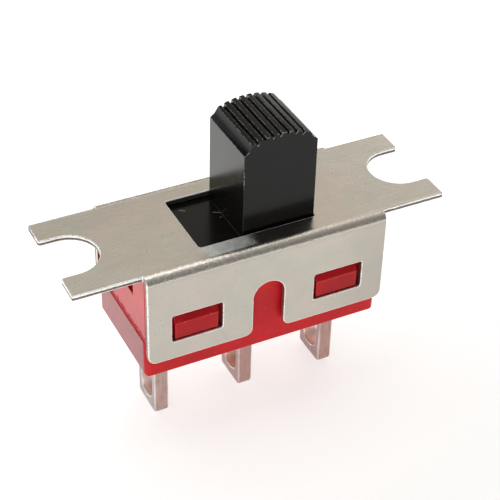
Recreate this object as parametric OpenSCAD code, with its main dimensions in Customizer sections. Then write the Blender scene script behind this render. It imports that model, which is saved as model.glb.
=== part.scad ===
// Miniature slide switch, single pole, two positions, for fixing behind a panel.
// The origin is the middle of the frame's top face. +X runs along the travel, +Z up through the knob.

/* [Knob] */
// Length of the knob along the travel
knob_l = 3.8; // [3.2:0.05:4.6]
// Width of the knob across the travel
knob_w = 3.74; // [3.1:0.02:4.5]
// Height of the crown's middle above the frame
knob_h = 5.12; // [4.2:0.02:7]
// Radius of the crown
crown_r = 3.6; // [3:0.1:6]
// Height of the bevelled shoulders' lower edges below the crown's middle
shoulder_drop = 0.8; // [0.7:0.02:1.2]
// Width of each shoulder: a sloping ledge and a steep bevel up to the crown
shoulder_w = 0.41; // [0.3:0.01:0.45]
// Width of the ledge along each shoulder's lower edge
shoulder_ledge_w = 0.22; // [0.1:0.01:0.26]
// Rise of that ledge
shoulder_ledge_h = 0.17; // [0.05:0.01:0.2]
// Number of grip grooves across the crown
grooves = 7; // [3:2:7]
// Distance between grooves
groove_pitch = 0.4; // [0.3:0.01:0.44]
// Distance from the knob's middle back to the middle groove
groove_offset = 0.06; // [0:0.01:0.1]
// Width of a groove at its mouth
groove_w = 0.18; // [0.1:0.01:0.3]
// Depth of a groove
groove_depth = 0.18; // [0.08:0.01:0.25]

/* [Travel] */
// Travel of the knob from one stop to the other
travel = 2.3; // [1.9:0.05:2.8]
// Gap left at each end of the window
stop_gap = 0.03; // [0.02:0.01:0.08]
// Gap between the knob's sides and the window
window_side_gap = 0.16; // [0.06:0.01:0.25]
// Corner radius of the window
window_r = 0.18; // [0.05:0.01:0.3]

/* [Actuator flange] */
// Overlap of the flange past the window's end when the knob is at its stop
end_cover = 0.07; // [0.05:0.01:0.3]
// Overlap of the flange past the window's sides
side_cover = 0.27; // [0.2:0.01:0.5]
// Width of the tongues that run in the end notches
tongue_w = 2.7; // [1.8:0.05:3.2]
// Distance kept between a tongue's tip and the case's end face
tongue_inset = 0.1; // [0.05:0.01:0.4]
// Radius of the boss round the plunger's bore
boss_r = 1.3; // [1.2:0.05:1.6]
// Height of that boss below the flange
boss_h = 0.6; // [0.3:0.05:0.8]

/* [Mounting frame] */
// Thickness of the sheet
sheet_t = 0.3; // [0.24:0.02:0.44]
// Outside radius of the fold between the top and a flap
fold_r = 0.45; // [0.4:0.01:0.6]
// Gap between the flaps and the case's side walls
flap_gap = 0.16; // [0.03:0.01:0.2]
// Distance each end of a flap reaches past the case
flap_overhang = 0; // [0:0.01:0.2]
// Depth of each flap below the top face
flap_depth = 5.08; // [4.7:0.02:6]
// Corner radius at the foot of a flap
flap_corner_r = 0.45; // [0.2:0.05:0.8]
// Length of each ear past the flaps
ear_l = 3.42; // [2.8:0.01:5]
// Width of the ears
ear_w = 5.9; // [5.4:0.02:6.4]
// Rounding of the ears' outer corners
ear_corner_r = 0.06; // [0.04:0.01:0.3]
// Width of the open fixing slots
slot_w = 3; // [2.4:0.1:3.6]
// Depth of a fixing slot from the end of its ear
slot_depth = 2.39; // [1.9:0.01:2.7]
// Rounding at the mouth of a fixing slot
slot_mouth_r = 0.15; // [0.05:0.01:0.4]

/* [Flap cut-outs] */
// Length of a latch window
latch_window_l = 2.63; // [2.1:0.01:3.2]
// Height of a latch window
latch_window_h = 1.54; // [1.2:0.02:1.9]
// Depth of a latch window's top edge below the top face
latch_window_z = 2.5; // [2.2:0.02:2.8]
// Distance from a flap's end to its latch window
latch_window_inset = 1.23; // [0.8:0.01:1.5]
// Corner radius of a latch window
latch_window_r = 0.12; // [0.05:0.01:0.3]
// Width of the arched notch in the middle of a flap
arch_w = 1.66; // [1.2:0.02:2.2]
// Depth of the arch's crown below the top face
arch_z = 2.07; // [1.6:0.01:3]
// Rounding of the flap's corners beside the arch
arch_foot_r = 0.4; // [0.1:0.05:0.6]

/* [Case] */
// Depth of the case's base below the top face
case_depth = 6.24; // [5.6:0.02:7.6]
// Rounding of the case's upright edges
upright_edge_r = 0.3; // [0.1:0.05:0.5]
// Rounding of the base's edges along the side walls
base_side_r = 0.1; // [0.05:0.01:0.3]
// Rounding of the base's edges along the end walls
base_end_r = 0.28; // [0.05:0.01:0.4]
// Thickness of the end walls
end_wall_t = 0.81; // [0.6:0.01:1]
// Thickness of the walls beside the flange
side_wall_t = 0.57; // [0.45:0.01:0.8]
// Width of the ledges that carry the flange
flange_ledge_w = 0.45; // [0.3:0.05:0.6]
// Thickness of the floor
floor_t = 0.9; // [0.8:0.02:1.2]
// Depth of the ledge across each end face below the top face
end_ledge_z = 4.1; // [3.4:0.05:4.6]
// Step back of the end faces above that ledge
end_step = 0.08; // [0.04:0.01:0.15]
// Gap between a latch and the ends of its window
latch_gap = 0.19; // [0.05:0.01:0.25]
// Distance a latch stays inside the flap's outer face
latch_inset = 0.1; // [0:0.01:0.15]
// Height of the sloped lead-in at the top of a latch
latch_lead_h = 0.4; // [0.2:0.02:0.8]
// Depth of the seal's recess in the base
seal_depth = 0.4; // [0.25:0.05:0.5]
// Width of the seal's recess
seal_w = 3.9; // [3.2:0.1:4.2]
// Distance from an outer terminal to the end of the seal's recess
seal_margin = 0.6; // [0.4:0.05:0.7]
// Corner radius of the seal's recess
seal_r = 0.5; // [0.2:0.05:0.8]
// Depth of the set resin's face inside the recess
seal_sink = 0.06; // [0:0.01:0.12]

/* [Terminals] */
// Distance between neighbouring terminals
pitch = 4.7; // [3.9:0.05:5.7]
// Thickness of the terminals
blade_t = 0.76; // [0.6:0.02:0.92]
// Width of the terminals
blade_w = 2.06; // [1.7:0.02:2.44]
// Length of the outer terminals below the base
lug_l = 4.58; // [3.7:0.01:6]
// Length of the centre terminal below the base
centre_lug_l = 4.44; // [3.7:0.01:6]
// Corner radius of a terminal's tip across its width
tip_r = 0.4; // [0.2:0.05:0.8]
// Corner radius of a terminal's tip across its thickness
tip_edge_r = 0.27; // [0.05:0.01:0.28]
// Width of the solder eye, a slot with round ends
eye_w = 1.3; // [0.9:0.02:1.36]
// Height of the solder eye
eye_h = 2.3; // [1.5:0.05:2.5]
// Metal left below the solder eye
eye_foot = 0.69; // [0.6:0.01:1.2]
// Width of the shoulders that seat each terminal on the floor
shoulder_ear = 0.3; // [0.2:0.02:0.5]
// Height of those shoulders
shoulder_ear_h = 0.4; // [0.3:0.02:0.6]

/* [Rocker and contacts] */
// Tilt of the rocker at either end of the travel
rocker_tilt = 6; // [4:0.5:7.5]
// Height of the rocker's axis above the floor
pivot_lift = 0.98; // [0.94:0.01:1.3]
// Thickness of the rocker's strip
rocker_t = 0.4; // [0.3:0.02:0.48]
// Width of the rocker's strip
rocker_w = 1.5; // [1.2:0.05:1.9]
// Metal left above the rocker's seat
seat_wall = 0.2; // [0.1:0.01:0.28]
// Length of the rocker's strip past the middle of its contacts
rocker_overhang = 0.35; // [0.3:0.01:0.4]
// Length of the guide tabs beside the centre terminal
tab_l = 1.2; // [0.8:0.05:1.6]
// Thickness of those guide tabs
tab_t = 0.3; // [0.2:0.02:0.4]
// Distance those tabs reach below the rocker's axis
tab_drop = 0.3; // [0.1:0.02:0.34]
// Room between a raised end of the rocker and the flange
swing_room = 0.54; // [0.3:0.02:0.7]
// Room kept between the rocker's ends and the end walls
rocker_room = 0.25; // [0.2:0.01:0.5]
// Radius of the rocker's contact buttons
button_r = 0.34; // [0.25:0.01:0.35]
// Length of the fixed contact bars
bar_l = 1.5; // [1:0.05:1.9]
// Height of every contact
contact_h = 0.12; // [0.08:0.01:0.2]

/* [Plunger and spring] */
// Radius of the plunger
plunger_r = 0.7; // [0.6:0.01:0.84]
// Radius of the dome at the plunger's tip
plunger_tip_r = 1; // [0.9:0.05:1.5]
// Height of the plunger's shank
plunger_h = 2.1; // [1.7:0.05:2.2]
// Radius of the peg that centres the spring
peg_r = 0.3; // [0.2:0.01:0.34]
// Height of that peg
peg_h = 0.4; // [0.2:0.05:0.6]
// Height of the bore's closed end above the top face
bore_top = 1.9; // [1:0.05:3.4]
// Radius of the spring at the middle of its wire
spring_r = 0.5; // [0.44:0.01:0.6]
// Diameter of the spring's wire
wire_d = 0.2; // [0.12:0.01:0.24]
// Number of turns in the spring
turns = 8; // [5:1:10]

/* [Fits] */
// Gap between sliding faces
slide_gap = 0.05; // [0.03:0.01:0.08]
// Gap round the terminals where they pass the floor
blade_gap = 0.03; // [0.02:0.01:0.06]
// Gap between the rocker's seat and the centre terminal
seat_gap = 0.03; // [0.02:0.01:0.06]
// Gap between parts that touch only under load
touch_gap = 0.02; // [0.01:0.005:0.03]

/* [Hidden] */
$fn = 72;
eps = 0.01;
far = 40;

// Plan of the travel: the window holds the knob, and the flange covers the window at both stops
window_l = knob_l + travel + 2 * stop_gap;
window_w = knob_w + 2 * window_side_gap;
knob_x = travel / 2;
flange_l = window_l + travel + 2 * end_cover;
flange_w = window_w + 2 * side_cover;
channel_w = flange_w + 2 * slide_gap;

// Plan of the case and the frame, from the inside out
rocker_reach = pitch + rocker_overhang;
chamber_l = max(flange_l + travel + 2 * slide_gap, 2 * (rocker_reach + rocker_room));
chamber_w = channel_w - 2 * flange_ledge_w;
case_l = chamber_l + 2 * end_wall_t;
case_w = channel_w + 2 * side_wall_t;
flap_inner_y = case_w / 2 + flap_gap;
flap_outer_y = flap_inner_y + sheet_t;
fold_y = flap_outer_y - fold_r;
flap_l = case_l + 2 * flap_overhang;
frame_l = flap_l + 2 * ear_l;
latch_x = flap_l / 2 - latch_window_inset - latch_window_l / 2;

// Heights, all below the top face of the frame
base_z = -case_depth;
floor_z = base_z + floor_t;
pivot_z = floor_z + pivot_lift;
vertex_h = blade_t / 2 + seat_gap + seat_wall;
wing_z = pivot_z + vertex_h * cos(rocker_tilt);
flange_z = wing_z + rocker_reach * sin(2 * rocker_tilt) + swing_room;
flange_top_z = -sheet_t - slide_gap;
channel_z = flange_z - slide_gap;
contact_z = wing_z - rocker_t - contact_h - touch_gap;
tip_z = base_z - lug_l;
centre_tip_z = base_z - centre_lug_l;
plunger_z = wing_z + touch_gap;
spring_z = plunger_z + plunger_h + touch_gap;
spring_l = bore_top - touch_gap - spring_z;
bore_r = plunger_r + slide_gap;

// Rectangle centred on the origin with rounded corners
module rounded_rect(length, width, radius) {
    square([length - 2 * radius, width], center = true);
    square([length, width - 2 * radius], center = true);
    for (sx = [-1, 1], sy = [-1, 1])
        translate([sx * (length / 2 - radius), sy * (width / 2 - radius)])
            circle(r = radius);
}

// What is cut away to round one outside corner; the corner is at the origin and fills +X, +Y
module corner_cut(radius) {
    difference() {
        translate([-eps, -eps])
            square(radius + eps);
        translate([radius, radius])
            circle(r = radius);
    }
}

// Draws an outline given in X and Z as a prism across the whole width
module across_y(width) {
    translate([0, width / 2, 0])
        rotate([90, 0, 0])
            linear_extrude(height = width)
                children();
}

// Draws an outline given in Y and Z as a prism along the length
module along_x(length) {
    translate([-length / 2, 0, 0])
        rotate([90, 0, 90])
            linear_extrude(height = length)
                children();
}

// Radius of the circle whose segment has a given chord and height
function dome_radius(chord, height) = (chord * chord / 4 + height * height) / (2 * height);

// Segment of a circle on a chord, bulging towards +Y
module dome_profile(chord, height) {
    radius = dome_radius(chord, height);
    intersection() {
        translate([0, height - radius])
            circle(r = radius);
        translate([-chord / 2, 0])
            square([chord, height]);
    }
}

// Round bar that stands on the origin with a domed top
module domed_bar(radius, height, dome_radius) {
    intersection() {
        cylinder(r = radius, h = height);
        translate([0, 0, height - dome_radius])
            sphere(r = dome_radius);
    }
}

// ---- Mounting frame: one folded sheet ----

// Section of the folded sheet across the switch
module frame_section() {
    translate([-fold_y, -sheet_t])
        square([2 * fold_y, sheet_t]);
    for (side = [-1, 1])
        scale([side, 1]) {
            translate([flap_inner_y, -flap_depth])
                square([sheet_t, flap_depth - fold_r]);
            intersection() {
                translate([fold_y, -fold_r])
                    difference() {
                        circle(r = fold_r);
                        circle(r = fold_r - sheet_t);
                    }
                translate([fold_y, -fold_r])
                    square(fold_r);
            }
        }
}

// Outline of a flap seen from the side, with its cut-outs
module flap_outline() {
    arch_r = arch_w / 2;
    difference() {
        translate([-flap_l / 2, -flap_depth])
            square([flap_l, flap_depth + eps]);
        for (side = [-1, 1]) {
            translate([side * latch_x, -latch_window_z - latch_window_h / 2])
                rounded_rect(latch_window_l, latch_window_h, latch_window_r);
            translate([side * flap_l / 2, -flap_depth])
                scale([-side, 1])
                    corner_cut(flap_corner_r);
            translate([side * arch_r, -flap_depth])
                scale([side, 1])
                    corner_cut(arch_foot_r);
        }
        translate([0, -arch_z - arch_r])
            circle(r = arch_r);
        translate([-arch_r, -flap_depth - eps])
            square([arch_w, flap_depth + eps - arch_z - arch_r]);
    }
}

// Outline of the flat top: the strip between the folds, and an ear at each end
module top_outline() {
    slot_r = slot_w / 2;
    difference() {
        square([frame_l, ear_w], center = true);
        for (sy = [-1, 1])
            translate([0, sy * (fold_y + far / 2)])
                square([flap_l, far], center = true);
        for (sx = [-1, 1]) {
            translate([sx * (frame_l / 2 - slot_depth + slot_r), 0])
                circle(r = slot_r);
            translate([sx * (frame_l / 2 - slot_depth + slot_r + far / 2), 0])
                square([far, slot_w], center = true);
            for (sy = [-1, 1]) {
                translate([sx * frame_l / 2, sy * ear_w / 2])
                    scale([-sx, -sy])
                        corner_cut(ear_corner_r);
                translate([sx * frame_l / 2, sy * slot_r])
                    scale([-sx, sy])
                        corner_cut(slot_mouth_r);
            }
        }
    }
}

module mounting_frame() {
    color("darkgray")
        difference() {
            union() {
                intersection() {
                    along_x(flap_l)
                        frame_section();
                    across_y(far)
                        flap_outline();
                }
                translate([0, 0, -sheet_t])
                    linear_extrude(height = sheet_t)
                        top_outline();
            }
            translate([0, 0, -sheet_t - eps])
                linear_extrude(height = sheet_t + 2 * eps)
                    rounded_rect(window_l, window_w, window_r);
        }
}

// ---- Case: moulded box with a stepped chamber ----

// A rectangle whose top is square and whose lower corners are rounded
module box_outline(length, top, bottom, radius) {
    difference() {
        translate([-length / 2, bottom])
            square([length, top - bottom]);
        for (side = [-1, 1])
            translate([side * length / 2, bottom])
                scale([-side, 1])
                    corner_cut(radius);
    }
}

module case_block() {
    intersection() {
        translate([0, 0, base_z])
            linear_extrude(height = -sheet_t - base_z)
                rounded_rect(case_l, case_w, upright_edge_r);
        across_y(far)
            box_outline(case_l, -sheet_t, base_z, base_end_r);
        along_x(far)
            box_outline(case_w, -sheet_t, base_z, base_side_r);
    }
}

// Block that snaps into a latch window: a lead-in slope above, a square hook below
module latch() {
    top_z = -latch_window_z - latch_gap;
    hook_z = -latch_window_z - latch_window_h + slide_gap;
    root_y = case_w / 2 - side_wall_t / 2;
    face_y = flap_outer_y - latch_inset;
    along_x(latch_window_l - 2 * latch_gap)
        polygon([
            [root_y, top_z],
            [case_w / 2, top_z],
            [face_y, top_z - latch_lead_h],
            [face_y, hook_z],
            [root_y, hook_z],
        ]);
}

module seal_outline() {
    rounded_rect(2 * (pitch + blade_t / 2 + seal_margin), seal_w, seal_r);
}

// Repeats its children at the three terminals
module at_terminals() {
    for (i = [-1, 0, 1])
        translate([i * pitch, 0, 0])
            children();
}

module case() {
    notch_w = tongue_w + 2 * slide_gap;
    color("crimson")
        difference() {
            union() {
                case_block();
                for (sx = [-1, 1], sy = [-1, 1])
                    translate([sx * latch_x, 0, 0])
                        scale([1, sy, 1])
                            latch();
            }
            translate([-chamber_l / 2, -channel_w / 2, channel_z])
                cube([chamber_l, channel_w, far]);
            translate([-far / 2, -notch_w / 2, channel_z])
                cube([far, notch_w, far]);
            translate([-chamber_l / 2, -chamber_w / 2, floor_z])
                cube([chamber_l, chamber_w, far]);
            for (sx = [-1, 1])
                translate([sx * (case_l / 2 - end_step + far / 2), 0, far / 2 - end_ledge_z])
                    cube(far, center = true);
            translate([0, 0, base_z - eps])
                linear_extrude(height = seal_depth + eps)
                    seal_outline();
            at_terminals()
                cube([blade_t + 2 * blade_gap, blade_w + 2 * blade_gap, far], center = true);
        }
}

module terminal_seal() {
    color("goldenrod")
        difference() {
            translate([0, 0, base_z + seal_sink])
                linear_extrude(height = seal_depth - seal_sink)
                    seal_outline();
            at_terminals()
                cube([blade_t, blade_w, far], center = true);
        }
}

// ---- Actuator: knob, flange, tongues and bored boss in one moulding ----

module knob_outline() {
    crown_z = knob_h - crown_r;
    shoulder_x = knob_l / 2 - shoulder_w;
    shoulder_z = crown_z + sqrt(crown_r * crown_r - shoulder_x * shoulder_x);
    shoulder_foot_z = knob_h - shoulder_drop;
    difference() {
        intersection() {
            translate([-knob_l / 2, flange_top_z - eps])
                square([knob_l, far]);
            union() {
                translate([0, crown_z])
                    circle(r = crown_r);
                translate([-knob_l / 2, flange_top_z - eps])
                    square([knob_l, crown_z - flange_top_z + eps]);
            }
        }
        for (side = [-1, 1])
            polygon([
                [side * shoulder_x, shoulder_z],
                [side * (knob_l / 2 - shoulder_ledge_w), shoulder_foot_z + shoulder_ledge_h],
                [side * knob_l / 2, shoulder_foot_z],
                [side * (knob_l / 2 + eps), shoulder_foot_z],
                [side * (knob_l / 2 + eps), knob_h],
                [side * shoulder_x, knob_h],
            ]);
        for (i = [0 : grooves - 1]) {
            groove_x = (i - (grooves - 1) / 2) * groove_pitch - groove_offset;
            translate([0, crown_z])
                rotate(-asin(groove_x / crown_r))
                    polygon([
                        [0, crown_r - groove_depth],
                        [groove_w, crown_r + groove_depth],
                        [-groove_w, crown_r + groove_depth],
                    ]);
        }
    }
}

module actuator() {
    flange_h = flange_top_z - flange_z;
    tongue_l = case_l - travel - 2 * tongue_inset;
    color("dimgray")
        translate([knob_x, 0, 0])
            difference() {
                union() {
                    across_y(knob_w)
                        knob_outline();
                    translate([-flange_l / 2, -flange_w / 2, flange_z])
                        cube([flange_l, flange_w, flange_h]);
                    translate([-tongue_l / 2, -tongue_w / 2, flange_z])
                        cube([tongue_l, tongue_w, flange_h]);
                    translate([0, 0, flange_z - boss_h])
                        cylinder(r = boss_r, h = boss_h + eps);
                }
                translate([0, 0, flange_z - boss_h - eps])
                    cylinder(r = bore_r, h = bore_top - flange_z + boss_h + eps);
            }
}

// ---- Plunger and its spring ----

module plunger() {
    tip_h = plunger_tip_r;
    color("ivory")
        translate([knob_x, 0, plunger_z]) {
            translate([0, 0, tip_h])
                rotate([180, 0, 0])
                    domed_bar(plunger_r, tip_h, plunger_tip_r);
            translate([0, 0, tip_h - eps])
                cylinder(r = plunger_r, h = plunger_h - tip_h + eps);
            translate([0, 0, plunger_h - eps])
                cylinder(r = peg_r, h = peg_h + eps);
        }
}

// Points of one ring of the coil's wire at an angle along the coil
function coil_ring(angle, height, sides) = [
    for (k = [0 : sides - 1])
        let (a = 360 * k / sides, r = spring_r + wire_d / 2 * cos(a))
            [r * cos(angle), r * sin(angle), height + wire_d / 2 * sin(a)]
];

module contact_spring() {
    sides = 8;
    steps_per_turn = 18;
    rings = turns * steps_per_turn;
    rise = spring_l - wire_d;
    points = [
        for (i = [0 : rings])
            each coil_ring(360 * i / steps_per_turn, wire_d / 2 + rise * i / rings, sides)
    ];
    side_faces = [
        for (i = [0 : rings - 1], k = [0 : sides - 1])
            let (a = i * sides + k, b = i * sides + (k + 1) % sides)
                [a, a + sides, b + sides, b]
    ];
    first_cap = [for (k = [0 : sides - 1]) k];
    last_cap = [for (k = [sides - 1 : -1 : 0]) rings * sides + k];
    color("silver")
        translate([knob_x, 0, spring_z])
            polyhedron(points, concat([first_cap], side_faces, [last_cap]), convexity = 10);
}

// ---- Contacts ----

// Rocker frame at rest: origin on the axis, tilted with the right end down
module on_rocker() {
    translate([0, 0, pivot_z])
        rotate([0, rocker_tilt, 0])
            children();
}

// Frame of one wing: origin on the bend line, the wing's top face at z = 0, +X out to the tip
module on_wing(side) {
    on_rocker()
        scale([side, 1, 1])
            translate([0, 0, vertex_h])
                rotate([0, -rocker_tilt, 0])
                    children();
}

// Side view of the rocker's strip: a shallow V with the seat cut into its underside
module rocker_section() {
    wing_l = rocker_reach - vertex_h * sin(rocker_tilt);
    run = wing_l * cos(rocker_tilt);
    rise = wing_l * sin(rocker_tilt);
    skew = rocker_t * sin(rocker_tilt);
    drop = rocker_t * cos(rocker_tilt);
    difference() {
        polygon([
            [0, vertex_h],
            [run, vertex_h + rise],
            [run + skew, vertex_h + rise - drop],
            [0, vertex_h - rocker_t / cos(rocker_tilt)],
            [-run - skew, vertex_h + rise - drop],
            [-run, vertex_h + rise],
        ]);
        circle(r = blade_t / 2 + seat_gap);
    }
}

module rocker() {
    tab_top = vertex_h - seat_wall;
    tab_y = blade_w / 2 + blade_gap + tab_t / 2;
    color("darkkhaki")
        on_rocker() {
            across_y(rocker_w)
                rocker_section();
            across_y(2 * tab_y + tab_t)
                intersection() {
                    rocker_section();
                    translate([-tab_l / 2, 0])
                        square([tab_l, far]);
                }
            for (side = [-1, 1])
                translate([-tab_l / 2, side * tab_y - tab_t / 2, -tab_drop])
                    cube([tab_l, tab_t, tab_drop + tab_top]);
        }
}

module rocker_contact(side) {
    color("silver")
        on_wing(side)
            translate([pitch - vertex_h * sin(rocker_tilt), 0, -rocker_t])
                rotate([180, 0, 0])
                    domed_bar(button_r, contact_h, dome_radius(2 * button_r, contact_h));
}

module fixed_contact(side) {
    color("silver")
        translate([side * pitch, 0, contact_z - contact_h])
            across_y(bar_l)
                dome_profile(blade_t - 2 * blade_gap, contact_h);
}

// Slot with round ends, centred on the origin
module upright_slot(width, height) {
    square([width, height - width], center = true);
    for (side = [-1, 1])
        translate([0, side * (height - width) / 2])
            circle(d = width);
}

// Outline of a terminal across the switch, between two given heights
module blade_outline(top, tip) {
    difference() {
        union() {
            box_outline(blade_w, top, tip, tip_r);
            translate([-blade_w / 2 - shoulder_ear, floor_z])
                square([blade_w + 2 * shoulder_ear, shoulder_ear_h]);
        }
        translate([0, tip + eye_foot + eye_h / 2])
            upright_slot(eye_w, eye_h);
    }
}

module outer_terminal(side) {
    top_z = contact_z - contact_h;
    color("tan")
        translate([side * pitch, 0, 0])
            intersection() {
                along_x(blade_t)
                    blade_outline(top_z, tip_z);
                across_y(far)
                    box_outline(blade_t, top_z, tip_z, tip_edge_r);
            }
}

// The centre terminal ends in the rounded edge that the rocker teeters on
module terminal_centre() {
    color("tan")
        intersection() {
            along_x(blade_t)
                blade_outline(pivot_z + blade_t / 2, centre_tip_z);
            across_y(far) {
                box_outline(blade_t, pivot_z, centre_tip_z, tip_edge_r);
                translate([0, pivot_z])
                    circle(r = blade_t / 2);
            }
        }
}

module rocker_contact_left() { rocker_contact(-1); }
module rocker_contact_right() { rocker_contact(1); }
module fixed_contact_left() { fixed_contact(-1); }
module fixed_contact_right() { fixed_contact(1); }
module terminal_left() { outer_terminal(-1); }
module terminal_right() { outer_terminal(1); }

mounting_frame();
case();
actuator();
plunger();
contact_spring();
rocker();
rocker_contact_left();
rocker_contact_right();
fixed_contact_left();
fixed_contact_right();
terminal_left();
terminal_centre();
terminal_right();
terminal_seal();
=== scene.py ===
from math import cos, pi, radians, sin

import bmesh
import bpy
from mathutils import Matrix, Vector


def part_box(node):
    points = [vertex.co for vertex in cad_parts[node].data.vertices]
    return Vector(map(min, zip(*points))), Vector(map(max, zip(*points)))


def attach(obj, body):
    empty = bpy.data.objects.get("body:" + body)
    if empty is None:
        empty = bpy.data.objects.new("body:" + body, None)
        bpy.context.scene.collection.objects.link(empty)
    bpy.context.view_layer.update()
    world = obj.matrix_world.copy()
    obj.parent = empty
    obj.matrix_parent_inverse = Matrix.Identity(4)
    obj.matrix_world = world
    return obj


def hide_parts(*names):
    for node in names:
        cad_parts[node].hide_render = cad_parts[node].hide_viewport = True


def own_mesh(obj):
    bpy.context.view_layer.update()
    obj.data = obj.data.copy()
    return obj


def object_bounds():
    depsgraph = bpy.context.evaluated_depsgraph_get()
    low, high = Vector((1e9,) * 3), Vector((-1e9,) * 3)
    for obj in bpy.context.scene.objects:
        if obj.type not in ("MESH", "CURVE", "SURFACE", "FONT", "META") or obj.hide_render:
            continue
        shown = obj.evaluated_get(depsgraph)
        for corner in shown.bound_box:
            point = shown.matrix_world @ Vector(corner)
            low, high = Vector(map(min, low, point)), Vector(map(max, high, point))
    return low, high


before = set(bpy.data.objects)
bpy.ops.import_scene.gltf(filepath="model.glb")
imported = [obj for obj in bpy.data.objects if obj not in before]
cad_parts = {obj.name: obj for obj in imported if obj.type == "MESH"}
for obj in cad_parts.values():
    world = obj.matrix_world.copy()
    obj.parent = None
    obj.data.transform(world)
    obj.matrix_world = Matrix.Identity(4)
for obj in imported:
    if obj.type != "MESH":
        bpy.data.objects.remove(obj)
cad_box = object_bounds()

# A miniature slide switch: a folded steel frame, a red moulded case, a black ribbed knob, three solder
# lugs and the parts inside. The origin is the middle of the frame's flat top face. X runs along the
# knob's travel, Y across the switch and Z up through the knob. Unless a comment says otherwise,
# lengths are in millimetres, and MM turns them into metres.

MM = 0.001
scene = bpy.context.scene
scene.view_settings.view_transform = "Standard"


# ---- Sizes ----

def size_of(node):
    """The lowest and highest corners of a CAD node."""
    low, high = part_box(node)
    return low / MM, high / MM


FRAME_HIGH = size_of("mounting_frame")[1]
CASE_HIGH = size_of("case")[1]
SPRING_LOW, SPRING_HIGH = size_of("contact_spring")

# The frame's sheet lies on the case, so the case's top gives its thickness.
SHEET = -CASE_HIGH.z
FOLD_RADIUS = 0.45
FOLD_START = FRAME_HIGH.y - FOLD_RADIUS
WINDOW_EDGE = 2.03
# Edges of the top sheet that lie nearer the middle than this are the window's.
WINDOW_ZONE_X = 5
WINDOW_ZONE_Y = WINDOW_EDGE + 0.1

LEDGE_Z = -4.1
LATCHES_FROM_X = 1.7
LATCHES_TO_X = 5.6

FLANGE_Z = -0.35
SHOULDER_Z = 2.6
CROWN_Z = 4.2
GROOVE_ENDS_Y = 1.6

# Cut faces of a lug that lie nearer its middle and higher than this are the walls of its eye.
EYE_ZONE_Y = 0.68
EYE_ZONE_Z = -10.2
# Between the left lug and the middle one.
LUG_GAP_X = -2.4

SPRING_WIRE = 0.2
SPRING_TURNS = 8

# How far sharp edges are rounded, and how close two points lie that are joined before that. A few of
# the frame's edges, at the ends of its folds, are too short to round, so their ends are joined.
FRAME_ROUNDING = 0.05
CASE_ROUNDING = 0.05
KNOB_ROUNDING = 0.02
LUG_ROUNDING = 0.07
FRAME_WELD = 0.03
WELD = 0.0001
ROUNDING_STEPS = 4
# In degrees: edges that turn more than the first are rounded, and those that turn less than the second
# are taken out.
SHARP_ANGLE = 30
FLAT_ANGLE = 0.5
RIM_SLOT = 1


# ---- Helpers for shader nodes ----

# How far X and Y move along a block's upright faces for each millimetre of height.
SHEAR_X = 0.31
SHEAR_Y = 0.83
# How far apart two sets of scratches are taken from the noise, and how soft a scratch's edge is.
SCRATCHES_APART = 3.7
SCRATCH_SOFT = 0.015


def put(tree, kind, inputs=None, **settings):
    """Adds a shader node. An input is a number, a colour or another node's output."""
    made = tree.nodes.new("ShaderNode" + kind)
    for key, value in settings.items():
        setattr(made, key, value)
    for key, value in (inputs or {}).items():
        socket = made.inputs[key]
        if isinstance(value, bpy.types.NodeSocket):
            tree.links.new(value, socket)
        else:
            socket.default_value = value
    return made


def maths(tree, operation, *values, clamp=False):
    """One step of arithmetic on numbers."""
    return put(tree, "Math", dict(enumerate(values)), operation=operation, use_clamp=clamp).outputs[0]


def vector_maths(tree, operation, inputs, output="Vector"):
    """One step of arithmetic on places or colours."""
    return put(tree, "VectorMath", inputs, operation=operation).outputs[output]


def absolute(tree, value):
    return maths(tree, "ABSOLUTE", value)


def product(tree, *values):
    """Several masks multiplied together."""
    total = values[0]
    for value in values[1:]:
        total = maths(tree, "MULTIPLY", total, value)
    return total


def largest(tree, *values):
    """A mask that is 1 wherever one of several masks is."""
    total = values[0]
    for value in values[1:]:
        total = maths(tree, "MAXIMUM", total, value)
    return total


def weighted(tree, base, *pairs, clamp=True):
    """A base number plus each value times its weight."""
    total = base
    for value, weight in pairs:
        total = maths(tree, "MULTIPLY_ADD", value, weight, total, clamp=clamp)
    return total


def ramp(tree, value, stops):
    """Colours or grey levels at places along a value from 0 to 1."""
    made = put(tree, "ValToRGB", {"Fac": value})
    elements = made.color_ramp.elements
    while len(elements) < len(stops):
        elements.new(1)
    for element, (place, level) in zip(elements, stops):
        element.position = place
        element.color = (*level, 1) if hasattr(level, "__len__") else (level, level, level, 1)
    return made.outputs["Color"]


def blend(tree, share, first, second):
    """The first colour where the share is 0, the second where it is 1."""
    made = put(tree, "Mix", {"Factor": share}, data_type="RGBA")
    for name, value in (("A", first), ("B", second)):
        socket = [s for s in made.inputs if s.name == name and s.type == "RGBA"][0]
        if isinstance(value, bpy.types.NodeSocket):
            tree.links.new(value, socket)
        else:
            socket.default_value = (*value, 1)
    return [s for s in made.outputs if s.type == "RGBA"][0]


def touched(tree, shade, mask, strength, colour):
    """A shade with a colour laid over it where a mask is 1."""
    return blend(tree, product(tree, mask, strength), shade, colour)


def above(tree, value, level, soft, low=0, high=1):
    """A mask that rises smoothly from low to high as a value passes a level."""
    inputs = {"Value": value, "From Min": level - soft, "From Max": level + soft,
              "To Min": low, "To Max": high}
    return put(tree, "MapRange", inputs, interpolation_type="SMOOTHSTEP").outputs["Result"]


def below(tree, value, level, soft):
    """A mask that falls smoothly from 1 to 0 as a value passes a level."""
    return above(tree, value, level, soft, low=1, high=0)


def between(tree, value, low, high, soft):
    """A mask that is 1 while a value lies between two levels."""
    return product(tree, above(tree, value, low, soft), below(tree, value, high, soft))


def axes(tree, vector):
    parts = put(tree, "SeparateXYZ", {"Vector": vector})
    return parts.outputs["X"], parts.outputs["Y"], parts.outputs["Z"]


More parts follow.
